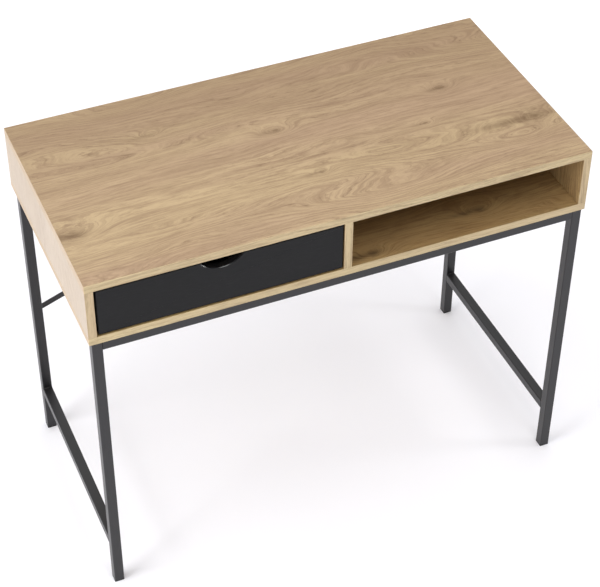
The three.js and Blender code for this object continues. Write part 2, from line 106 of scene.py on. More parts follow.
def arcs(pieces):
    """An outline made of arcs: centre plus radius times (cos, sin) of the angle, with
    the outward direction along the radius, or against it where the arc is hollow."""
    points, outward = [], []
    for centre_u, centre_v, radius, start, stop, steps in pieces:
        angle = np.linspace(start, stop, steps + 1)
        ray = np.stack([np.cos(angle), np.sin(angle)], axis=1)
        points.append(np.array([centre_u, centre_v]) + radius * ray)
        outward.append(ray if stop > start else -ray)
    return np.concatenate(points), np.concatenate(outward)


def rectangle(half_u, half_v, radius, steps=corner_steps):
    """A rectangle's outline with a quarter arc at each corner, anticlockwise."""
    u, v, quarter = half_u - radius, half_v - radius, np.pi / 2
    return arcs([
        (u, v, radius, 0, quarter, steps),
        (-u, v, radius, quarter, 2 * quarter, steps),
        (-u, -v, radius, 2 * quarter, 3 * quarter, steps),
        (u, -v, radius, 3 * quarter, 4 * quarter, steps),
    ])


def eased_rings(outline, half, ease, steps=ease_steps):
    """The outline carried through the thickness: at each face it is drawn in by
    ease * (1 - sin a) while the height goes in by ease * (1 - cos a), a from 0 to 90."""
    points, outward = outline
    turn = np.linspace(0, np.pi / 2, steps + 1)
    draw_in = ease * (1 - np.sin(turn))
    height = -half + ease * (1 - np.cos(turn))
    draw_in = np.concatenate([draw_in, draw_in[::-1]])[:, None, None]
    height = np.concatenate([height, -height[::-1]])[:, None]
    flat = points[None] - draw_in * outward[None]
    depth = np.broadcast_to(height, flat.shape[:2])
    return np.concatenate([flat, depth[..., None]], axis=2)


def block(name, low, high, through, corner, ease):
    """A board or a bar between two corners: its rounded outline carried along one axis."""
    low, high = np.array(low), np.array(high)
    u_axis, v_axis = (through + 1) % 3, (through + 2) % 3
    half = (high - low) / 2
    rings = eased_rings(rectangle(half[u_axis], half[v_axis], corner), half[through], ease)
    basis = np.eye(3)[[u_axis, v_axis, through]]
    return skin(name, rings, basis, (low + high) / 2)


def lathe(name, radii, heights, origin, along, sides=48):
    """A turned piece: each ring's radius, the same all round or one for each angle,
    times (cos, sin), at its height along the axis. The axis is +X, +Y or +Z, or minus."""
    angle = np.arange(sides) * 2 * np.pi / sides
    radius = np.stack([np.broadcast_to(np.asarray(r, float), (sides,)) for r in radii])
    height = np.broadcast_to(np.asarray(heights, float)[:, None], radius.shape)
    rings = np.stack([radius * np.cos(angle), radius * np.sin(angle), height], axis=2)
    way = np.asarray(along, dtype=float)
    side = np.roll(np.abs(way), 1)
    piece = skin(name, rings, np.stack([side, np.cross(way, side), way]), origin)
    piece.data.polygons.foreach_set("use_smooth", np.ones(len(piece.data.polygons), bool))
    piece.data.set_sharp_from_angle(angle=sharp_from)
    return piece


def hex_socket(width, sides=48):
    """Radius of a hexagon across each angle: half its width over the cosine of the
    angle to the nearest flat."""
    angle = np.arange(sides) * 2 * np.pi / sides
    return width / 2 / np.cos((angle + np.pi / 6) % (np.pi / 3) - np.pi / 6)


def cross_socket(reach, wall, sides=48):
    """Radius of a cross recess at each angle: long along four arms, short between."""
    angle = np.arange(sides) * 2 * np.pi / sides
    arm = np.abs(np.cos(2 * angle)) ** 6
    return wall + (reach - wall) * arm


def drill(piece, cutters):
    """Takes the cutters' shapes out of a piece and removes them."""
    for cutter in cutters:
        step = piece.modifiers.new("drill", "BOOLEAN")
        step.operation, step.solver, step.object = "DIFFERENCE", "EXACT", cutter
    bpy.context.view_layer.update()
    graph = bpy.context.evaluated_depsgraph_get()
    drilled = bpy.data.meshes.new_from_object(piece.evaluated_get(graph))
    piece.modifiers.clear()
    piece.data = drilled
    for cutter in cutters:
        bpy.data.objects.remove(cutter)
    return piece


def place(piece, body, finish, nodes=()):
    """Gives a piece its finish and slot, and lets it ride on its body for its nodes."""
    piece.data.materials.clear()
    piece.data.materials.append(finish)
    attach(piece, body)
    if nodes:
        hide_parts(*nodes)
    return piece


def corners(node):
    low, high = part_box(node)
    return np.array(low), np.array(high)


def middle(node):
    low, high = corners(node)
    return (low + high) / 2


# ------------------------------------------------------------------ finishes

def node(tree, kind, values=None, **settings):
    """A shader node: values go to its inputs as numbers or links, settings to itself."""
    made = tree.nodes.new(kind)
    for key, value in settings.items():
        setattr(made, key, value)
    for key, value in (values or {}).items():
        if isinstance(value, bpy.types.NodeSocket):
            tree.links.new(value, made.inputs[key])
        else:
            made.inputs[key].default_value = value
    return made


def start_finish(name, **values):
    """A material with a Principled shader, its plain values set on the shader itself."""
    material = bpy.data.materials.new(name)
    material.use_nodes = True
    tree = material.node_tree
    shader = tree.nodes["Principled BSDF"]
    for key, value in values.items():
        shader.inputs[key.replace("_", " ")].default_value = value
    return material, tree, shader


def place_on_piece(tree, turn=(0, 0, 0), shift=(0, 0, 0), scale=(1, 1, 1)):
    """The piece's own coordinates, turned and shifted so that the pattern suits it."""
    here = node(tree, "ShaderNodeTexCoord")
    return node(tree, "ShaderNodeMapping", {
        "Vector": here.outputs["Object"],
        "Location": shift,
        "Rotation": turn,
        "Scale": scale,
    }).outputs["Vector"]


def stretch(tree, vector, scale, shift=(0, 0, 0)):
    return node(tree, "ShaderNodeMapping", {
        "Vector": vector,
        "Location": shift,
        "Scale": scale,
    }).outputs["Vector"]


def noise(tree, vector, scale=1.0, detail=2.0, roughness=0.5, distortion=0.0):
    return node(tree, "ShaderNodeTexNoise", {
        "Vector": vector,
        "Scale": scale,
        "Detail": detail,
        "Roughness": roughness,
        "Distortion": distortion,
    }).outputs["Fac"]


def math(tree, operation, first, second=0.0, third=0.0):
    return node(tree, "ShaderNodeMath", {0: first, 1: second, 2: third},
                operation=operation).outputs[0]


def between(tree, value, low, high, out_low=0.0, out_high=1.0):
    """value taken from low..high to out_low..out_high, and held there beyond."""
    return node(tree, "ShaderNodeMapRange", {
        "Value": value,
        "From Min": low,
        "From Max": high,
        "To Min": out_low,
        "To Max": out_high,
    }, clamp=True).outputs["Result"]


def mix_colour(tree, share, first, second, mode="MIX"):
    made = node(tree, "ShaderNodeMix", data_type="RGBA", blend_type=mode)
    for place_in, value in ((0, share), (6, first), (7, second)):
        if isinstance(value, bpy.types.NodeSocket):
            tree.links.new(value, made.inputs[place_in])
        else:
            made.inputs[place_in].default_value = value
    return made.outputs[2]


def paint(red, green, blue):
    """A colour from its 0-255 values as a screen shows them."""
    shown = np.array([red, green, blue]) / 255
    light = np.where(shown <= 0.04045, shown / 12.92, ((shown + 0.055) / 1.055) ** 2.4)
    return (*light.tolist(), 1.0)


def raise_bump(tree, shader, height, strength, distance):
    bump = node(tree, "ShaderNodeBump", {
        "Height": height,
        "Strength": strength,
        "Distance": distance,
    })
    tree.links.new(bump.outputs["Normal"], shader.inputs["Normal"])


def oak_finish(name, turn, shift, knots, colours, figure, darken_from=None, bold=1.0):
    """Printed oak laminate with its grain along X before the turn. Growth rings are the
    contour lines of a slope across the grain plus a slow noise, which close into arches
    where the noise is the steeper of the two. Knots push the lines apart and trail a dark
    shade along the grain. Long streaks and short fine pores follow the same contours.
    The place across the grain given after figure is where the colour starts to turn darker;
    bold makes the broad bands and the growth rings stand out more."""
    light_oak, warm_oak, ring_oak, pore_oak, knot_oak = colours
    material, tree, shader = start_finish(name, Specular_IOR_Level=0.5)
    here = place_on_piece(tree, turn, shift)
    split = node(tree, "ShaderNodeSeparateXYZ", {"Vector": here})
    along, across = split.outputs["X"], split.outputs["Y"]
    depth = split.outputs["Z"]

    sway = noise(tree, stretch(tree, here, (2.2, 9, 9)), 1.0, 1.0, 0.45)
    broad = noise(tree, stretch(tree, here, (0.9, 11, 11), (3.1, 1.7, 0)), 1.0, 2.5, 0.5)
    ragged = noise(tree, stretch(tree, here, (45, 130, 130), (0.6, 2.2, 0)), 1.0, 3.0, 0.6)
    rings = math(tree, "MULTIPLY_ADD", across, 74.0, math(tree, "MULTIPLY", depth, 30.0))
    patch = noise(tree, stretch(tree, here, (1.9, 8, 8), (7.3, 0.4, 0)), 1.0, 2.0, 0.5)
    swing = between(tree, patch, 0.46, 0.62, 4.0 * figure, 21.0 * figure)
    rings = math(tree, "MULTIPLY_ADD", math(tree, "SUBTRACT", sway, 0.5), swing, rings)
    rings = math(tree, "MULTIPLY_ADD", broad, 4.0 * figure, rings)
    dark = None
    for knot_along, knot_across, size, tone, trail in knots:
        off_along = math(tree, "MULTIPLY_ADD", along, 0.5 / size, -knot_along * 0.5 / size)
        off_across = math(tree, "MULTIPLY_ADD", across, 1 / size, -knot_across / size)
        off_across = math(tree, "MULTIPLY_ADD", ragged, 1.2, math(tree, "SUBTRACT", off_across, 0.6))
        over = math(tree, "MULTIPLY", off_across, off_across)
        squared = math(tree, "MULTIPLY_ADD", off_along, off_along, over)
        near = math(tree, "EXPONENT", math(tree, "MULTIPLY", squared, -0.25))
        rings = math(tree, "MULTIPLY_ADD", near, 5.4 / max(trail, 1.5), rings)
        heart = math(tree, "EXPONENT", math(tree, "MULTIPLY", squared, -1.2))
        drift = math(tree, "MULTIPLY_ADD", along, 0.5 / size / trail, -knot_along * 0.5 / size / trail)
        drift = math(tree, "ADD", drift, 0.6)
        behind = math(tree, "MULTIPLY_ADD", drift, drift, math(tree, "MULTIPLY", over, 1.4))
        behind = math(tree, "EXPONENT", math(tree, "MULTIPLY", behind, -0.9))
        shade = math(tree, "MAXIMUM", heart, math(tree, "MULTIPLY", behind, 0.82))
        shade = math(tree, "MULTIPLY", shade, tone)
        dark = shade if dark is None else math(tree, "MAXIMUM", dark, shade)

    flow = node(tree, "ShaderNodeCombineXYZ", {
        "X": along,
        "Y": math(tree, "MULTIPLY", rings, 1 / 74.0),
        "Z": depth,
    }).outputs["Vector"]
    phase = math(tree, "FRACT", math(tree, "MULTIPLY_ADD", ragged, 1.3, rings))
    rise = between(tree, phase, 0.45, 0.9, 0.0, 1.0)
    fall = between(tree, phase, 0.9, 1.0, 1.0, 0.0)
    line = math(tree, "MULTIPLY", math(tree, "MULTIPLY", rise, rise), fall)
    line = math(tree, "MULTIPLY", line, between(tree, patch, 0.42, 0.56, 0.15, 1.0))

    streak = noise(tree, stretch(tree, flow, (12, 250, 250)), 1.0, 5.0, 0.75)
    wide_streak = noise(tree, stretch(tree, flow, (3.0, 30, 30), (0.2, 5.1, 0)), 1.0, 2.0, 0.5)
    mineral = noise(tree, stretch(tree, flow, (6.0, 85, 85), (4.2, 0.9, 0)), 1.0, 2.0, 0.6)
    fine = noise(tree, stretch(tree, flow, (38, 430, 430)), 1.0, 4.0, 0.65)
    pore = between(tree, fine, 0.5, 0.66)
    pore = math(tree, "MULTIPLY", pore, math(tree, "MULTIPLY_ADD", line, 0.5, 0.5))

    colour = mix_colour(tree, between(tree, broad, 0.36, 0.62), warm_oak, light_oak)
    colour = mix_colour(tree, between(tree, wide_streak, 0.42, 0.7, 0.0, 0.24 * bold), colour, ring_oak)
    colour = mix_colour(tree, between(tree, streak, 0.46, 0.62, 0.0, 0.55), colour, ring_oak)
    colour = mix_colour(tree, between(tree, mineral, 0.58, 0.75, 0.0, 0.45), colour, ring_oak)
    colour = mix_colour(tree, math(tree, "MULTIPLY", line, 0.5 * bold), colour, ring_oak)
    # Darker across the grain from that place on; on the top this is towards the back.
    if darken_from is not None:
        ridge = math(tree, "MULTIPLY_ADD", sway, 0.12, across)
        darker_share = between(tree, ridge, darken_from, darken_from + 0.2, 0.0, 0.36)
        colour = mix_colour(tree, darker_share, colour, ring_oak)
    colour = mix_colour(tree, math(tree, "MULTIPLY", pore, 0.5), colour, pore_oak)
    if dark is not None:
        dark = math(tree, "MULTIPLY", dark, between(tree, streak, 0.3, 0.62, 0.6, 1.0))
        colour = mix_colour(tree, between(tree, dark, 0.0, 1.0, 0.0, 1.0), colour, knot_oak)
    tree.links.new(colour, shader.inputs["Base Color"])

    handled = noise(tree, stretch(tree, here, (5, 5, 5)), 1.0, 3.0, 0.55)
    gloss = math(tree, "MULTIPLY_ADD", pore, 0.12, between(tree, handled, 0.3, 0.7, 0.36, 0.46))
    tree.links.new(gloss, shader.inputs["Roughness"])
    raise_bump(tree, shader, math(tree, "MULTIPLY", pore, -1.0), 0.35, 0.12 * mm)
    return material


def black_board_finish(name, shine, rough_low, rough_high):
    """Black laminate: a fine printed-paper texture, faint streaks along X, soft sheen."""
    material, tree, shader = start_finish(name, Specular_IOR_Level=shine)
    here = place_on_piece(tree)
    grain = noise(tree, stretch(tree, here, (60, 900, 900)), 1.0, 3.0, 0.6)
    cloud = noise(tree, stretch(tree, here, (4, 9, 9)), 1.0, 3.0, 0.5)
    colour = mix_colour(tree, between(tree, cloud, 0.3, 0.7), paint(17, 17, 18), paint(22, 22, 23))
    colour = mix_colour(tree, between(tree, grain, 0.5, 0.75, 0, 0.4), colour, paint(38, 38, 41))
    tree.links.new(colour, shader.inputs["Base Color"])
    tree.links.new(between(tree, cloud, 0.3, 0.7, rough_low, rough_high), shader.inputs["Roughness"])
    raise_bump(tree, shader, grain, 0.3, 0.06 * mm)
    return material


def powder_coat_finish(name, dark, light, rough_low, rough_high):
    """Powder coat: an even orange-peel bump, with a little dust and handling in the gloss."""
    material, tree, shader = start_finish(name, Specular_IOR_Level=0.46)
    here = place_on_piece(tree)
    peel = noise(tree, here, 1500.0, 2.0, 0.5)
    speck = noise(tree, here, 2600.0, 2.0, 0.6)
    cloud = noise(tree, here, 9.0, 4.0, 0.55)
    colour = mix_colour(tree, between(tree, cloud, 0.3, 0.7), dark, light)
    colour = mix_colour(tree, between(tree, speck, 0.62, 0.8, 0, 0.35), colour, paint(92, 92, 94))
    tree.links.new(colour, shader.inputs["Base Color"])
    rough = between(tree, cloud, 0.3, 0.7, rough_low, rough_high)
    tree.links.new(rough, shader.inputs["Roughness"])
    raise_bump(tree, shader, peel, 0.35, 0.08 * mm)
    return material


def moulded_finish(name, dark, light, rough_low, rough_high, grain_scale):
    """Moulded plastic: a fine eroded texture with slow cloudy changes of tone."""
    material, tree, shader = start_finish(name, Specular_IOR_Level=0.45)
    here = place_on_piece(tree)
    cloud = noise(tree, here, 40.0, 3.0, 0.5)
    grain = noise(tree, here, grain_scale, 2.0, 0.6)
    colour = mix_colour(tree, between(tree, cloud, 0.3, 0.7), dark, light)
    tree.links.new(colour, shader.inputs["Base Color"])
    tree.links.new(between(tree, grain, 0.3, 0.7, rough_low, rough_high), shader.inputs["Roughness"])
    raise_bump(tree, shader, grain, 0.3, 0.05 * mm)
    return material


def zinc_finish():
    """Zinc plate: a bright grey metal with crystalline patches and fine scratches."""
    material, tree, shader = start_finish("zinc_plate_face", Metallic=1.0)
    here = place_on_piece(tree)
    crystal = node(tree, "ShaderNodeTexVoronoi", {"Vector": here, "Scale": 900.0})
    scratch = noise(tree, stretch(tree, here, (300, 300, 4000)), 1.0, 2.0, 0.6)
    colour = mix_colour(tree, between(tree, crystal.outputs["Distance"], 0.0, 0.9),
                        paint(176, 178, 182), paint(205, 206, 208))
    tree.links.new(colour, shader.inputs["Base Color"])
    tree.links.new(between(tree, scratch, 0.3, 0.7, 0.28, 0.42), shader.inputs["Roughness"])
    raise_bump(tree, shader, scratch, 0.2, 0.02 * mm)
    return material


quarter_turn = np.pi / 2
board_colours = (
    paint(185, 160, 123),
    paint(174, 146, 116),
    paint(133, 105, 78),
    paint(108, 82, 56),
    paint(106, 80, 50),
)
# Left outer side: a paler, greyer copy of the oak colours, painted sheen standing in for the grazing
# reflection of the bright light on the left.
left_side_sheen_colours = (
    paint(179, 163, 143),
    paint(174, 158, 139),
    paint(164, 146, 126),
    paint(142, 122, 100),
    paint(116, 96, 74),
)
# Shelf and back panel: a darker, warmer copy of the oak colours, painted shade and painted warm bounce
# light of the deep open compartment.
shelf_shaded_colours = (
    paint(186, 159, 108),
    paint(163, 134, 90),
    paint(116, 86, 52),
    paint(92, 64, 38),
    paint(52, 34, 20),
)
band_colours = (
    paint(208, 188, 144),
    paint(201, 178, 140),
    paint(156, 131, 98),
    paint(128, 102, 72),
    paint(108, 84, 56),
)
# Right side panel and divider: a darker, warmer copy of the oak colours, painted shade of the open
# compartment.
inner_side_shaded_colours = (
    paint(186, 157, 110),
    paint(164, 133, 91),
    paint(104, 75, 44),
    paint(88, 60, 36),
    paint(52, 34, 20),
)
deep_band_colours = (
    paint(184, 162, 130),
    paint(178, 155, 125),
    paint(160, 136, 106),
    paint(136, 112, 84),
    paint(112, 88, 60),
)
grain_along_x = (0, 0, 0)  # lying boards, with depth along Z
grain_along_x_edge = (quarter_turn, 0, 0)
grain_along_y_edge = (-quarter_turn, -quarter_turn, 0)
grain_up_side = (0, quarter_turn, 0)
grain_up_edge = (quarter_turn, 0, quarter_turn)
# Knots: place along and across the grain, half width, depth of tone, length of the trail
top_knots = (
    (-0.477, -0.110, 0.015, 0.9, 1.6),
    (0.457, -0.107, 0.011, 1.0, 3.6),
    (0.329, 0.046, 0.008, 0.85, 1.3),
    (0.250, -0.048, 0.004, 0.8, 2.0),
    (0.005, -0.111, 0.005, 0.85, 2.4),
    (-0.024, 0.040, 0.008, 0.65, 1.5),
    (-0.250, 0.120, 0.006, 0.5, 2.0),
)
shelf_shift = (2.3, 0.4, 0.0)
shelf_knots = (
    (2.60, 0.21, 0.010, 0.8, 2.0),
    (2.36, 0.17, 0.009, 0.8, 2.5),
    (2.74, 0.30, 0.008, 0.6, 2.0),
)
oak_top = oak_finish("oak_laminate_top", grain_along_x, (0, 0, 0), top_knots, board_colours, 1.0, 0.06)
# The shelf's and the back's darker copy carries painted shade.
oak_shelf_painted_shade = oak_finish("oak_laminate_shelf_painted_shade", grain_along_x, shelf_shift, shelf_knots, shelf_shaded_colours, 0.8)
# The left side's paler copy carries painted sheen.
oak_left_painted_sheen = oak_finish("oak_laminate_left_painted_sheen", grain_up_side, (1.1, 0.7, 0.3), (), left_side_sheen_colours, 0.6)
# The right side's and the divider's darker copy carries painted shade.
oak_right_painted_shade = oak_finish(
    "oak_laminate_right_painted_shade", grain_up_side, (1.6, 0.2, 0.6), (), inner_side_shaded_colours, 0.9, bold=1.3
)
oak_back_painted_shade = oak_finish("oak_laminate_back_painted_shade", grain_along_x_edge, (0.9, 0.5, 0.1), (), shelf_shaded_colours, 0.8)
oak_band = oak_finish("oak_band_long", grain_along_x_edge, (0.4, 0.9, 0.2), (), band_colours, 0.4)
oak_band_upright = oak_finish("oak_band_upright", grain_up_edge, (1.7, 0.3, 0.5), (), band_colours, 0.4)
oak_band_deep = oak_finish("oak_band_deep", grain_along_y_edge, (2.9, 0.1, 0.8), (), deep_band_colours, 0.4)
black_board = black_board_finish("black_laminate_face", 0.22, 0.5, 0.6)
black_band = black_board_finish("black_edge_band", 0.5, 0.2, 0.26)
black_coat = powder_coat_finish("coated_steel_face", paint(28, 27, 29), paint(33, 32, 34), 0.32, 0.4)
white_coat = powder_coat_finish("white_steel_face", paint(214, 212, 205), paint(224, 222, 216), 0.3, 0.4)
plug_plastic = moulded_finish("black_plastic_face", paint(26, 26, 27), paint(32, 32, 33), 0.5, 0.65, 1800.0)
nylon_face = moulded_finish("nylon_face", paint(212, 209, 200), paint(222, 219, 211), 0.4, 0.5, 900.0)
zinc = zinc_finish()


# ------------------------------------------------------------------ box

def banded_board(node_name, through, finish, bands):
    """A board with its edge bands. The board ends where each band starts, so that the
    two together have the board's size. bands gives (name, axis, side, finish)."""
    low, high = corners(node_name)
    outer_low, outer_high = low.copy(), high.copy()
    strips = []
    for strip_name, axis, side, strip_finish in bands:
        strip_low, strip_high = low.copy(), high.copy()
        if side < 0:
            strip_high[axis] = outer_low[axis] + band
            low[axis] = strip_high[axis]
        else:
            strip_low[axis] = outer_high[axis] - band
            high[axis] = strip_low[axis]
        strips.append((strip_name, strip_low, strip_high, axis, strip_finish))
    for strip_name, strip_low, strip_high, axis, strip_finish in strips:
        strip = block(strip_name, strip_low, strip_high, axis, 0.45 * mm, 0.35 * mm)
        place(strip, "desk", strip_finish)
    board = block(node_name + "_board", low, high, through, 0.12 * mm, 0.1 * mm)
    return place(board, "desk", finish, [node_name])


banded_board("top_panel", axis_z, oak_top, [
    ("top_front_band", axis_y, -1, oak_band),
    ("top_rear_band", axis_y, 1, oak_band),
    ("top_left_band", axis_x, -1, oak_band_deep),
    ("top_right_band", axis_x, 1, oak_band_deep),
])
bottom_board = banded_board("bottom_panel", axis_z, oak_shelf_painted_shade, [
    ("bottom_front_band", axis_y, -1, oak_band),
    ("bottom_rear_band", axis_y, 1, oak_band),
    ("bottom_left_band", axis_x, -1, oak_band_deep),
    ("bottom_right_band", axis_x, 1, oak_band_deep),
])
left_board = banded_board("left_side_panel", axis_x, oak_left_painted_sheen, [
    ("left_side_front_band", axis_y, -1, oak_band_upright),
    ("left_side_rear_band", axis_y, 1, oak_band_upright),
])
right_board = banded_board("right_side_panel", axis_x, oak_right_painted_shade, [
    ("right_side_front_band", axis_y, -1, oak_band_upright),
    ("right_side_rear_band", axis_y, 1, oak_band_upright),
])
banded_board("centre_divider", axis_x, oak_right_painted_shade, [
    ("divider_front_band", axis_y, -1, oak_band_upright),
])
banded_board("back_panel", axis_y, oak_back_painted_shade, [])


# ------------------------------------------------------------------ fasteners

def head_up(node_name, direction):
    """Where a fastener's head face lies: the end of its box along a direction."""
    low, high = corners(node_name)
    centre = (low + high) / 2
    way = np.array(direction, float)
    return centre + way * np.abs((high - low) / 2 * way).sum()


screw_names = [f"{side}_{end}_joint_screw" for side in ("left", "right") for end in ("front", "rear")]
screw_names += ["divider_front_joint_screw", "divider_rear_joint_screw"]
screw_heads = []
for name in screw_names:
    seat = head_up(name, (0, 0, -1))
    low, high = corners(name)
    length = high[2] - low[2]
    head = (high[0] - low[0]) / 2
    arm = cross_socket(0.56 * head, 0.2 * head)
    radii = [0.1 * head + 0 * arm, 0.6 * arm, arm, arm * 1.06, 0.93 * head, head, head, 0.64 * head,
             0.64 * head, 0.24 * head]
    heights = [2.6 * mm, 2.2 * mm, 0.5 * mm, 0.35 * mm, 0.3 * mm, 0.6 * mm, 3.4 * mm, 4.4 * mm,
               length - 5 * mm, length - 0.2 * mm]
    screw = lathe(name + "_turned", radii, heights, seat, (0, 0, 1))
    place(screw, "desk", zinc, [name])
    recess = lathe("recess", [head + 0.25 * mm] * 2, [-1 * mm, 3.7 * mm], seat, (0, 0, 1))
    screw_heads.append(recess)
drill(bottom_board, screw_heads)

for side_name, side, board_piece in (("left", -1, left_board), ("right", 1, right_board)):
    sockets = []
    for end in ("front", "rear"):
        name = f"{side_name}_{end}_cam"
        low, high = corners(name)
        head = (high[2] - low[2]) / 2
        seat = head_up(name, (-side, 0, 0))
        arm = cross_socket(0.62 * head, 0.2 * head)
        radii = [0.1 * head + 0 * arm, 0.6 * arm, arm, 1.05 * arm, 0.95 * head, head, head]
        heights = [3 * mm, 2.6 * mm, 0.4 * mm, 0.2 * mm, 0.1 * mm, 0.4 * mm, high[0] - low[0]]
        cam = lathe(name + "_turned", radii, heights, seat, (side, 0, 0))
        place(cam, "desk", zinc, [name])
        sockets.append(lathe("socket", [head + 0.3 * mm] * 2, [-1 * mm, 12.3 * mm], seat, (side, 0, 0)))
    drill(board_piece, sockets)


# ------------------------------------------------------------------ frame

for end in ("front", "rear"):
    for side in ("left", "right"):
        name = f"{end}_{side}_leg"
        leg = block(name + "_tube", *corners(name), axis_z, tube_corner, tube_ease)
        place(leg, "desk", black_coat, [name])
        name = f"{end}_{side}_foot_plug"
        low, high = corners(name)
        high[2] = low[2] + 3 * mm
        plug = block(name + "_flange", low, high, axis_z, tube_corner, 0.8 * mm)
        place(plug, "desk", plug_plastic, [name])

rails = {
    "left_lower_stretcher": axis_y,
    "right_lower_stretcher": axis_y,
    "left_side_rail": axis_y,
    "right_side_rail": axis_y,
    "front_rail": axis_x,
    "rear_rail": axis_x,
}
for name, axis in rails.items():
    rail = block(name + "_tube", *corners(name), axis, tube_corner, tube_ease)
    place(rail, "desk", black_coat, [name])


def weld(name, point, along, up, out, length):
    """A fillet weld in an inside corner: a quarter-round section, swollen by small
    ripples, carried along the joint. up and out are the two faces it joins."""
    steps, around = 28, 9
    travel = np.linspace(-0.5, 0.5, steps)
    ripple = 1 + 0.09 * np.cos(travel * length / mm * 3.2)
    swell = np.sqrt(np.clip(1 - (2 * np.abs(travel)) ** 6, 0.02, 1)) * ripple
    angle = np.linspace(0, np.pi / 2, around - 1)
    section = np.concatenate([[[0, 0]], np.stack([np.cos(angle), np.sin(angle)], axis=1) * 0.8])
    section = section - 0.05
    flat = section[None] * swell[:, None, None] * weld_leg
    height = np.broadcast_to((travel * length)[:, None], flat.shape[:2])
    rings = np.concatenate([flat, height[..., None]], axis=2)
    return skin(name, rings, np.stack([out, up, along]).astype(float), point)


tube_half = (corners("front_left_leg")[1][0] - corners("front_left_leg")[0][0]) / 2
weld_length = 1.5 * tube_half
for name, axis in rails.items():
    low, high = corners(name)
    centre = (low + high) / 2
    unit = np.eye(3)
    faces_up = (1, -1) if "stretcher" in name else (-1,)
    for end, way in (("start", -1), ("stop", 1)):
        for face in faces_up:
            point = centre.copy()
            point[axis] = low[axis] if way < 0 else high[axis]
            point[2] += face * tube_half
            out, up = -way * unit[axis], face * unit[2]
            across = np.cross(out, up)
            label = "upper" if face > 0 else "lower"
            bead = weld(f"{name}_{end}_{label}_weld", point, across, up, out, weld_length)
            place(bead, "desk", black_coat)


# ------------------------------------------------------------------ crossed brace

def brace_bar(name, leg_bolt, rail_bolt):
    """A flat bar with round ends between two bolts, its edges eased."""
    low, high = corners(name)
    thickness = high[1] - low[1]
    start, stop = middle(leg_bolt), middle(rail_bolt)
    run = np.array([stop[0] - start[0], 0, stop[2] - start[2]])
    length = np.linalg.norm(run)
    along = run / length
    half_width = 6 * mm
    outline = rectangle(length / 2 + 9 * mm, half_width, half_width - 0.01 * mm, 16)
    rings = eased_rings(outline, thickness / 2, bar_ease)
    across = np.array([-along[2], 0, along[0]])
    centre = (start + stop) / 2
    centre[1] = (low[1] + high[1]) / 2
    basis = np.stack([along, across, np.cross(along, across)])
    bar = skin(name + "_flat", rings, basis, centre)
    return place(bar, "desk", black_coat, [name])


for side in ("left", "right"):
    brace_bar(f"{side}_footed_brace_bar", f"{side}_bar_leg_bolt", f"{side}_bar_rail_bolt")
    for end in ("leg", "rail"):
        name = f"{side}_bar_{end}_bolt"
        low, high = corners(name)
        head = (high[0] - low[0]) / 2
        length = high[1] - low[1]
        socket = hex_socket(3 * mm)
        radii = [0.4 * socket, socket, 1.06 * socket, 0.62 * head, 0.8 * head, 0.93 * head, head, head,
                 0.58 * head, 0.58 * head]
        heights = [1.9 * mm, 1.6 * mm, 0.1 * mm, 0.0, 0.35 * mm, 0.9 * mm, 1.6 * mm, 2.9 * mm,
                   2.95 * mm, length]
        bolt = lathe(name + "_turned", radii, heights, head_up(name, (0, 1, 0)), (0, -1, 0))
        place(bolt, "desk", zinc, [name])

name = "brace_crossing_rivet"
low, high = corners(name)
head = (high[0] - low[0]) / 2
length = high[1] - low[1]
dome = np.linspace(0.12, 1, 7)
dome_height = 2 * mm * (1 - np.sqrt(1 - dome ** 2 * 0.96))
radii = [*(head * dome), head, 0.58 * head, 0.58 * head, head, *(head * dome[::-1])]
heights = [
    *dome_height, 2 * mm, 2.02 * mm,
    length - 2.02 * mm, length - 2 * mm, *(length - dome_height[::-1]),
]
rivet = lathe(name + "_domed", radii, heights, head_up(name, (0, 1, 0)), (0, -1, 0))
place(rivet, "desk", zinc, [name])


# ------------------------------------------------------------------ drawer

def grip_outline(half_u, half_v):
    """A rectangle with a finger cut-out in its top edge: a hollow arc whose two lips are
    rounded by arcs that touch both it and the edge."""
    quarter = np.pi / 2
    above = grip_radius - grip_depth
    round_off = 1.0 * mm
    u, v = half_u - round_off, half_v - round_off
    reach = np.sqrt((grip_radius + lip_round) ** 2 - (above + lip_round) ** 2)
    lean = np.arctan2(above + lip_round, -reach)
    return arcs([
        (u, -v, round_off, -quarter, 0, 5),
        (u, v, round_off, 0, quarter, 5),
        (reach, half_v - lip_round, lip_round, quarter, lean, 6),
        (0, half_v + above, grip_radius, lean - np.pi, -lean, 40),
        (-reach, half_v - lip_round, lip_round, np.pi - lean, quarter, 6),
        (-u, v, round_off, quarter, 2 * quarter, 5),
        (-u, -v, round_off, 2 * quarter, 3 * quarter, 5),
    ])


low, high = corners("drawer_front")
half = (high - low) / 2
front_rings = eased_rings(grip_outline(half[0], half[2]), half[1], front_chamfer, 1)
front = skin("drawer_front_face", front_rings, [(1, 0, 0), (0, 0, 1), (0, -1, 0)], (low + high) / 2)
place(front, "drawer", black_board, ["drawer_front"])
front.data.materials.append(black_band)
grip_reach = np.sqrt(grip_radius ** 2 - (grip_radius - grip_depth) ** 2)
grip_low = high[2] - grip_depth - 2 * mm
grip_middle = (low + high)[0] / 2
edge = np.array([
    int(abs(face.center.x - grip_middle) < grip_reach and face.center.z > grip_low)
    for face in front.data.polygons
])
edge[-2:] = 0
front.data.polygons.foreach_set("material_index", edge)
front.data.set_sharp_from_angle(angle=sharp_from)

for name, through in (("drawer_left_side", axis_x), ("drawer_right_side", axis_x), ("drawer_back", axis_y)):
    board = block(name + "_board", *corners(name), through, 0.8 * mm, 0.7 * mm)
    place(board, "drawer", black_board, [name])
name = "drawer_bottom"
board = block(name + "_sheet", *corners(name), axis_z, 0.3 * mm, 0.2 * mm)
place(board, "drawer", black_board, [name])

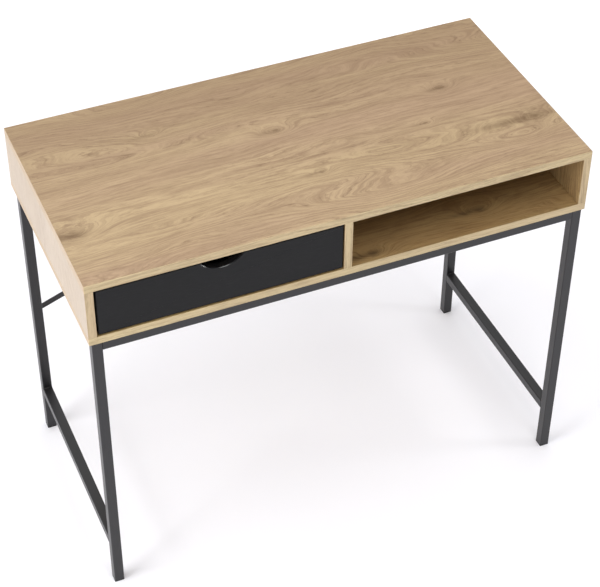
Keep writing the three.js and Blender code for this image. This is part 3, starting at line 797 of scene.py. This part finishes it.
for side in ("left", "right"):
    for end, body in (("front", f"{side}_front_wheel"), ("rear", f"{side}_rear_wheel")):
        name = f"{side}_{end}_roller"
        low, high = corners(name)
        radius = (high[2] - low[2]) / 2
        width = high[0] - low[0]
        radii = [
            roller_eye, roller_hub, roller_web,
            radius - rim_inside, radius - rim_edge, radius - tread_round, radius,
            radius, radius - tread_round, radius - rim_edge, radius - rim_inside,
            roller_web, roller_hub, roller_eye,
        ]
        heights = [
            0.3 * mm, 0.0, roller_dish, roller_dish, 0.0, 0.0, 0.6 * mm,
            width - 0.6 * mm, width, width, width - roller_dish, width - roller_dish,
            width, width - 0.3 * mm,
        ]
        roller = lathe(name + "_turned", radii, heights, head_up(name, (-1, 0, 0)), (1, 0, 0))
        place(roller, body, nylon_face, [name])

for name in ("left_cabinet_runner", "right_cabinet_runner", "left_drawer_runner", "right_drawer_runner"):
    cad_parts[name].data.materials.clear()
    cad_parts[name].data.materials.append(white_coat)
for name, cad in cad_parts.items():
    if cad.hide_render or "runner" in name:
        continue
    cad.data.materials.clear()
    cad.data.materials.append(zinc)


# ------------------------------------------------------------------ camera, floor, light

def aim(obj, place_at, target):
    """Puts an object at a place and turns its -Z towards the target."""
    obj.location = place_at
    obj.rotation_mode = "QUATERNION"
    obj.rotation_quaternion = (Vector(target) - Vector(place_at)).to_track_quat("-Z", "Y")


azimuth, elevation, roll = -0.385082, 0.710954, -0.007382
distance = 3.61538
looked_at = np.array([-0.01196, 0.10279, 0.4])
back = np.array([
    np.sin(azimuth) * np.cos(elevation),
    -np.cos(azimuth) * np.cos(elevation),
    np.sin(elevation),
])
level = np.array([np.cos(azimuth), np.sin(azimuth), 0])
upright = np.cross(back, level)
right_way = np.cos(roll) * level + np.sin(roll) * upright
up_way = np.cos(roll) * upright - np.sin(roll) * level
lens = bpy.data.cameras.new("camera")
lens.sensor_width = 36
lens.lens = 104.18
lens.shift_x = 0.05
lens.shift_y = -0.04583
camera = bpy.data.objects.new("camera", lens)
turned = Matrix(np.stack([right_way, up_way, back], axis=1).tolist()).to_4x4()
camera.matrix_world = Matrix.Translation(looked_at + distance * back) @ turned
bpy.context.scene.collection.objects.link(camera)
bpy.context.scene.camera = camera

floor_mesh = bpy.data.meshes.new("studio_floor")
reach = 30
floor_corners = [(-reach, -reach, 0), (reach, -reach, 0), (reach, reach, 0), (-reach, reach, 0)]
floor_mesh.from_pydata(floor_corners, [], [(0, 1, 2, 3)])
floor = bpy.data.objects.new("studio_floor", floor_mesh)
bpy.context.scene.collection.objects.link(floor)
floor_finish, floor_tree, floor_shader = start_finish("studio_floor", Roughness=0.9, Specular_IOR_Level=0.1)
floor_shader.inputs["Base Color"].default_value = (0.925, 0.92, 0.96, 1)
floor_spot = node(floor_tree, "ShaderNodeTexCoord").outputs["Object"]
floor_far = node(floor_tree, "ShaderNodeVectorMath", {0: floor_spot})
floor_far.operation = "LENGTH"
floor_seen = node(floor_tree, "ShaderNodeLightPath").outputs["Is Camera Ray"]
glow_from, glow_full = 1.3, 3.2
floor_glow = between(floor_tree, floor_far.outputs["Value"], glow_from, glow_full, 0.0, 1.0)
floor_glow = math(floor_tree, "MULTIPLY", floor_glow, floor_seen)
floor_tree.links.new(floor_glow, floor_shader.inputs["Emission Strength"])
floor_shader.inputs["Emission Color"].default_value = (1, 1, 1, 1)
floor_mesh.materials.append(floor_finish)

world = bpy.data.worlds.new("studio")
world.use_nodes = True
backdrop = world.node_tree
light_path = node(backdrop, "ShaderNodeLightPath")
seen = between(backdrop, light_path.outputs["Is Camera Ray"], 0.0, 1.0, 0.1, 1.0)
backdrop.links.new(seen, backdrop.nodes["Background"].inputs["Strength"])
backdrop.nodes["Background"].inputs["Color"].default_value = (1, 1, 1, 1)
bpy.context.scene.world = world
bpy.context.scene.view_settings.view_transform = "Standard"


def softbox(name, place_at, size, power):
    """A square studio light aimed at the desk."""
    light = bpy.data.lights.new(name, "AREA")
    light.shape = "SQUARE"
    light.size = size
    light.energy = power
    box = bpy.data.objects.new(name, light)
    aim(box, place_at, (0, 0, 0.6))
    box.visible_camera = False
    bpy.context.scene.collection.objects.link(box)


def high_light(name, place_at, spread, strength):
    """An even light from far away, softened over a wide angle, as from a lit ceiling."""
    light = bpy.data.lights.new(name, "SUN")
    light.angle = spread
    light.energy = strength
    far = bpy.data.objects.new(name, light)
    aim(far, place_at, (0, 0, 0))
    bpy.context.scene.collection.objects.link(far)


high_light("ceiling_light", (-0.3, 0.45, 2.6), np.radians(96), 2.6)
softbox("left_softbox", (-3.4, -0.6, 1.6), 2.2, 95)
softbox("front_softbox", (0.2, -2.2, 3.3), 1.4, 34)
softbox("right_softbox", (3.4, -1.3, 1.3), 0.6, 20)
